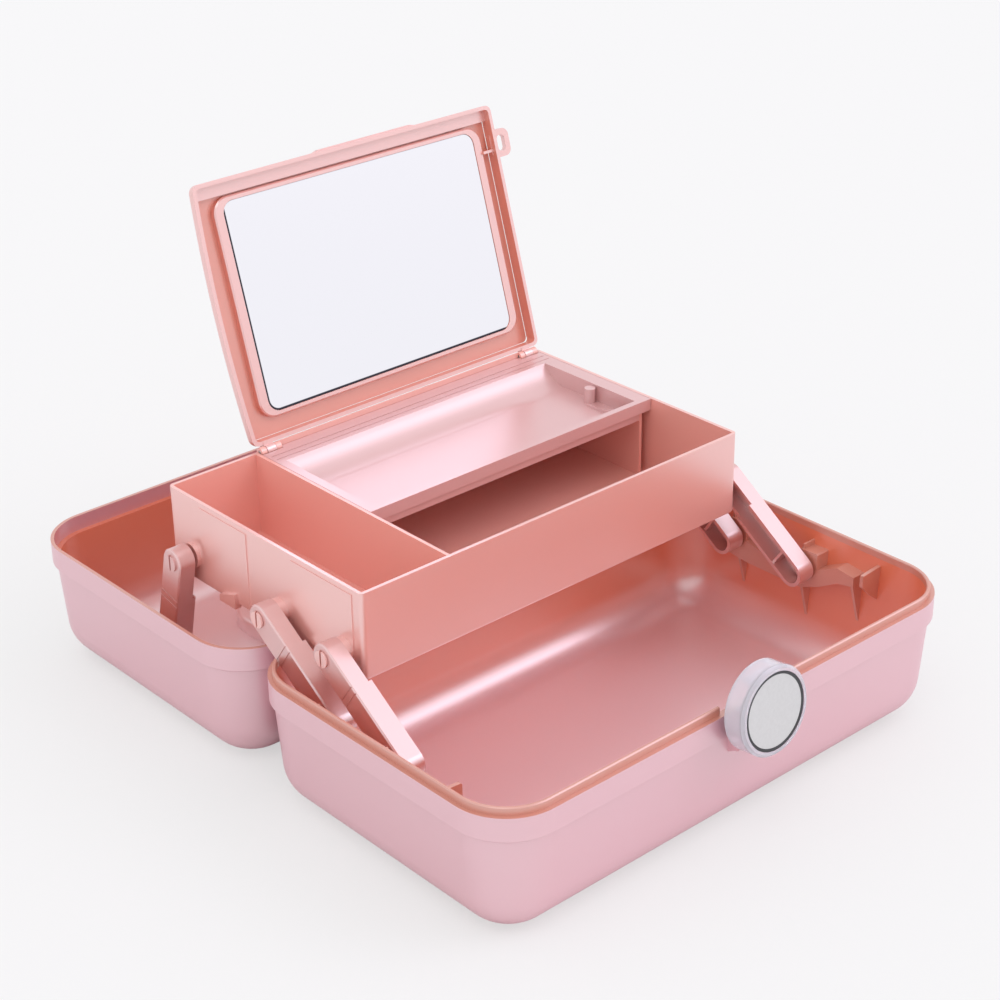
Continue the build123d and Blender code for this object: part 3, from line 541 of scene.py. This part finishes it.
lower_head = wire(
    pin_row, "GeometryNodeTransform", {"Geometry": upper_head, "Rotation": (math.pi, 0, 0)}
).outputs[0]
whole_pin = wire(pin_row, "GeometryNodeJoinGeometry", {})
for part in (shank, upper_head, lower_head):
    pin_row.links.new(part, whole_pin.inputs[0])
along_x = wire(
    pin_row,
    "GeometryNodeTransform",
    {"Geometry": whole_pin.outputs[0], "Rotation": (0, math.pi / 2, 0)},
).outputs[0]
stations = wire(
    pin_row,
    "GeometryNodeMeshLine",
    {"Count": sized["Count"], "Start Location": sized["First Middle"], "Offset": sized["Pitch"]},
).outputs["Mesh"]
placed = wire(
    pin_row, "GeometryNodeInstanceOnPoints", {"Points": stations, "Instance": along_x}
).outputs[0]
real = wire(pin_row, "GeometryNodeRealizeInstances", {0: placed}).outputs[0]
metal = wire(
    pin_row, "GeometryNodeSetMaterial", {"Geometry": real, "Material": sized["Metal"]}
).outputs[0]
wire(pin_row, "NodeGroupOutput", {0: metal})


def pins(node, name, body, radius, length, first, pitch=0.0, count=1, head=None):
    """A row of pins that stands for a node; without a head's radius and length, chamfered ends."""
    head_radius, head_length = head or (radius, CHAMFER)
    piece = bpy.data.objects.new(name, bpy.data.meshes.new(name))
    scene.collection.objects.link(piece)
    row = piece.modifiers.new("pin_row", "NODES")
    row.node_group = pin_row
    for label, value in (
        ("Shank Radius", radius),
        ("Shank Length", length - 2 * head_length),
        ("Head Radius", head_radius),
        ("Head Tip Radius", HEAD_TIP_SHARE * head_radius),
        ("Head Length", head_length),
        ("First Middle", first),
        ("Pitch", (pitch, 0.0, 0.0)),
        ("Count", count),
        ("Metal", pin_steel),
    ):
        row[pin_socket[label]] = value
    mesh = evaluated_mesh(piece)
    piece.modifiers.remove(row)
    piece.data = mesh
    mesh.name = name
    even_shading(mesh)
    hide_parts(node)
    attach(piece, body)


pins(
    "case_hinge_pins",
    "hinge_wires",
    "base",
    radius=0.0015,
    length=0.0322,
    first=(-0.095, 0.1023, 0.075),
    pitch=0.190,
    count=2,
    head=(0.0023, 0.0008),
)

# ---- Link arms ----
# Six channel arms, moulded in a paler mix of the same plastic, snap over split posts on the
# tray, the base and the lid. The rear pair's studs at the tray stay with the arms.
ARM_PINK = (0.60, 0.20, 0.17, 1)
ARM_PEARL = (0.62, 0.22, 0.20, 1)
arm_plastic = moulded_plastic("arm_plastic", ARM_PINK, ARM_PEARL)
for row in ("front", "middle", "rear"):
    for hand in ("left", "right"):
        link = smooth_piece(
            f"{row}_arm_{hand}", f"{row}_link_{hand}", f"{row}_arms", [arm_plastic]
        )
studs = smooth_piece("rear_arm_studs", "rear_link_studs", "rear_arms", [arm_plastic])

# ---- Storage tray ----
# A thin-walled box with one divider, moulded in the rose plastic with a satin gloss. It rides on
# the arms and keeps level.
TRAY_ROSE = (0.82, 0.32, 0.26, 1)
TRAY_PEARL = (0.82, 0.40, 0.36, 1)
# lighter tone for the tray's inside: painted light on the same plastic
TRAY_LIT_INSIDE = (0.86, 0.39, 0.32, 1)
TRAY_LIT_INSIDE_PEARL = (0.86, 0.43, 0.37, 1)
TRAY_HALF = 0.134
TRAY_FRONT = 0.0367
TRAY_REAR = 0.2008
TRAY_WALL = 0.0015
TRAY_FLOOR = 0.0833


def tray_side(centre, normal):
    """Tells the faces inside the tray (1), which get a lighter tone as painted light, from those
    outside it (0).
    """
    across = abs(centre.x) < TRAY_HALF - TRAY_WALL
    along = TRAY_FRONT + TRAY_WALL < centre.y < TRAY_REAR - TRAY_WALL
    return 1 if across and along and centre.z > TRAY_FLOOR else 0


tray_plastic = moulded_plastic("tray_plastic", TRAY_ROSE, TRAY_PEARL)
tray_inside_painted_light = moulded_plastic("tray_inside_painted_light", TRAY_LIT_INSIDE, TRAY_LIT_INSIDE_PEARL, coat=0.4)
tray_box = smooth_piece("storage_tray", "tray_box", "tray", [tray_plastic, tray_inside_painted_light], tray_side)

# ---- Shelf tray ----
# A shallow shelf with a basin, moulded in a smoother, paler mix. It lies on ledges in the tray's
# rear part, and its own rear ledge carries the mirror lid's notches.
SHELF_PINK = (0.66, 0.34, 0.32, 1)
SHELF_PEARL = (0.66, 0.40, 0.41, 1)
shelf_plastic = moulded_plastic(
    "shelf_plastic", SHELF_PINK, SHELF_PEARL, gloss_level=0.34, coat=0.6
)
shelf = smooth_piece("shelf_tray", "shelf_basin", "tray", [shelf_plastic])

# ---- Mirror lid ----
# A shallow pan hinged on the tray's rear wall, with a raised bezel that holds a silvered mirror
# with rounded corners. Two short steel wires are its hinge pins.
PAN_ROSE = (0.76, 0.29, 0.24, 1)
PAN_PEARL = (0.76, 0.36, 0.33, 1)
# darker tone for the channel round the bezel: painted shade on the same plastic
PAN_CHANNEL_SHADE = (0.72, 0.22, 0.14, 1)
PAN_CHANNEL_SHADE_PEARL = (0.72, 0.27, 0.20, 1)
PAN_GLOSS = 0.38
PAN_EDGE = Vector((0, 0.2002, 0.1343))
PAN_TILT = math.radians(16.5)
PAN_FRONT = Vector((0, -math.cos(PAN_TILT), math.sin(PAN_TILT)))
PAN_UP = Vector((0, math.sin(PAN_TILT), math.cos(PAN_TILT)))
PAN_LEFT = -0.077
PAN_RIGHT = 0.135
PAN_HEIGHT = 0.1458
PAN_WALL = 0.0012
PAN_LIP = -0.0005
PAN_FLOOR = -0.006
PAN_BACK = -0.0085
SILVER = (0.915, 0.90, 0.925, 1)
# painted shade: the dark line at the glass's left and lower edges
SILVER_GAP_SHADE = (0.05, 0.045, 0.06, 1)
# the glass's lower left corner, measured along X and up the pan, and its corner radius
GLASS_LEFT = -0.059
GLASS_LOW = 0.0147
GLASS_RADIUS = 0.007
GAP_SHADE_WIDTH = 0.0012
GAP_SHADE_FADE = 0.0003


def pan_side(centre, normal):
    """Tells the channel round the bezel (1), which gets a darker tone as painted shade, from the
    rest of the pan (0).
    """
    depth = (centre - PAN_EDGE).dot(PAN_FRONT)
    up = (centre - PAN_EDGE).dot(PAN_UP)
    across = PAN_LEFT + PAN_WALL < centre.x < PAN_RIGHT - PAN_WALL
    if not (across and PAN_WALL < up < PAN_HEIGHT - PAN_WALL) or depth < PAN_BACK:
        return 0
    steep = abs(normal.dot(PAN_FRONT)) < 0.5
    return 1 if depth < PAN_FLOOR or (steep and depth < PAN_LIP) else 0


def uneven_gloss(material, shader, scale, smoothest, roughest):
    """Lets the roughness wander between two values over the surface."""
    tree = material.node_tree
    place = wire(tree, "ShaderNodeTexCoord", {}).outputs["Object"]
    patches = wire(tree, "ShaderNodeTexNoise", {"Vector": place, "Scale": scale}).outputs["Fac"]
    span = wire(
        tree, "ShaderNodeMapRange", {"Value": patches, "To Min": smoothest, "To Max": roughest}
    ).outputs["Result"]
    tree.links.new(span, shader.inputs["Roughness"])


pan_plastic = moulded_plastic("pan_plastic", PAN_ROSE, PAN_PEARL, PAN_GLOSS)
pan_channel_painted_shade = moulded_plastic("pan_channel_painted_shade", PAN_CHANNEL_SHADE, PAN_CHANNEL_SHADE_PEARL, PAN_GLOSS, coat=0.5)
pan = smooth_piece(
    "mirror_lid_frame", "mirror_pan", "mirror_lid", [pan_plastic, pan_channel_painted_shade], pan_side
)

silver, silver_shader = new_material("mirror_silver", {"Metallic": 1.0})
uneven_gloss(silver, silver_shader, scale=30.0, smoothest=0.01, roughest=0.03)
# painted shade: a dark line along the glass's left and lower edges, where the gap beside the bezel
# lies in shade
silver_tree = silver.node_tree
glass_place = wire(silver_tree, "ShaderNodeTexCoord", {}).outputs["Object"]
glass_x = wire(silver_tree, "ShaderNodeSeparateXYZ", {0: glass_place}).outputs["X"]
glass_up = wire(
    silver_tree, "ShaderNodeVectorMath", {0: glass_place, 1: PAN_UP}, operation="DOT_PRODUCT"
).outputs["Value"]
past_corner = {}
for socket, along, limit in (
    ("X", glass_x, GLASS_LEFT + GLASS_RADIUS),
    ("Y", glass_up, GLASS_LOW + GLASS_RADIUS + PAN_EDGE.dot(PAN_UP)),
):
    beyond = wire(silver_tree, "ShaderNodeMath", {0: along, 1: limit}, operation="SUBTRACT")
    below = wire(silver_tree, "ShaderNodeMath", {0: beyond.outputs[0], 1: 0.0}, operation="MINIMUM")
    past_corner[socket] = below.outputs[0]
corner_step = wire(silver_tree, "ShaderNodeCombineXYZ", past_corner).outputs[0]
corner_reach = wire(
    silver_tree, "ShaderNodeVectorMath", {0: corner_step}, operation="LENGTH"
).outputs["Value"]
painted_gap_shade = wire(
    silver_tree,
    "ShaderNodeMapRange",
    {
        "Value": corner_reach,
        "From Min": GLASS_RADIUS - GAP_SHADE_WIDTH,
        "From Max": GLASS_RADIUS - GAP_SHADE_WIDTH + GAP_SHADE_FADE,
    },
).outputs["Result"]
silver_tone = wire(
    silver_tree,
    "ShaderNodeMix",
    {"Factor": painted_gap_shade, "A": SILVER, "B": SILVER_GAP_SHADE},
    data_type="RGBA",
).outputs["Result"]
silver_tree.links.new(silver_tone, silver_shader.inputs["Base Color"])
glass = smooth_piece("mirror_glass", "mirror_plate", "mirror_lid", [silver])
pins(
    "mirror_hinge_pins",
    "mirror_lid_wires",
    "tray",
    radius=0.0012,
    length=0.0134,
    first=(-0.068, 0.1989, 0.1313),
    pitch=0.192,
    count=2,
)

# ---- Latch ----
# A round push plate in clear lavender plastic on a steel pin; a satin aluminium disc sits in its
# face inside a dark ring.
LAVENDER = (0.95, 0.92, 0.98, 1)
CLEARNESS = 0.55
CLEAR_IOR = 1.49
DISC_SHADE = (0.59, 0.59, 0.58, 1)
DISC_LIGHT = (0.66, 0.66, 0.65, 1)
DISC_METALLIC = 0.35
DISC_ROUGHNESS = 0.4
DISC_GRAIN = 600.0
RING_DARK = (0.035, 0.035, 0.038, 1)

clear, clear_shader = new_material(
    "clear_lavender", {"Base Color": LAVENDER, "Transmission Weight": CLEARNESS, "IOR": CLEAR_IOR}
)
uneven_gloss(clear, clear_shader, scale=90.0, smoothest=0.04, roughest=0.12)
puck = smooth_piece("latch_body", "latch_puck", "latch", [clear])

satin, satin_shader = new_material(
    "disc_satin", {"Metallic": DISC_METALLIC, "Roughness": DISC_ROUGHNESS}
)
satin_tree = satin.node_tree
satin_place = wire(satin_tree, "ShaderNodeTexCoord", {}).outputs["Object"]
satin_grain = wire(
    satin_tree, "ShaderNodeTexNoise", {"Vector": satin_place, "Scale": DISC_GRAIN}
).outputs["Fac"]
satin_tone = wire(
    satin_tree,
    "ShaderNodeMix",
    {"Factor": satin_grain, "A": DISC_SHADE, "B": DISC_LIGHT},
    data_type="RGBA",
).outputs["Result"]
satin_tree.links.new(satin_tone, satin_shader.inputs["Base Color"])
disc = smooth_piece("latch_disc", "latch_face_disc", "latch", [satin])

dark, dark_shader = new_material("ring_dark", {"Base Color": RING_DARK})
uneven_gloss(dark, dark_shader, scale=500.0, smoothest=0.3, roughest=0.45)
ring = smooth_piece("latch_ring", "latch_face_ring", "latch", [dark])
pins("latch_pin", "latch_wire", "base", radius=0.00125, length=0.0246, first=(0.0, -0.0999, 0.056))

# ---- Carry handle ----
# A fold-down bail in the shell's plastic, lying in the recess in the lid's top. It turns on two
# short steel pins.
bail = smooth_piece("carry_handle", "carry_bail", "handle", [shell_outside])
pins(
    "handle_pins",
    "bail_pins",
    "handle",
    radius=0.002,
    length=0.0131,
    first=(-0.06055, LID_MIDDLE, 0.0042),
    pitch=0.1211,
    count=2,
)
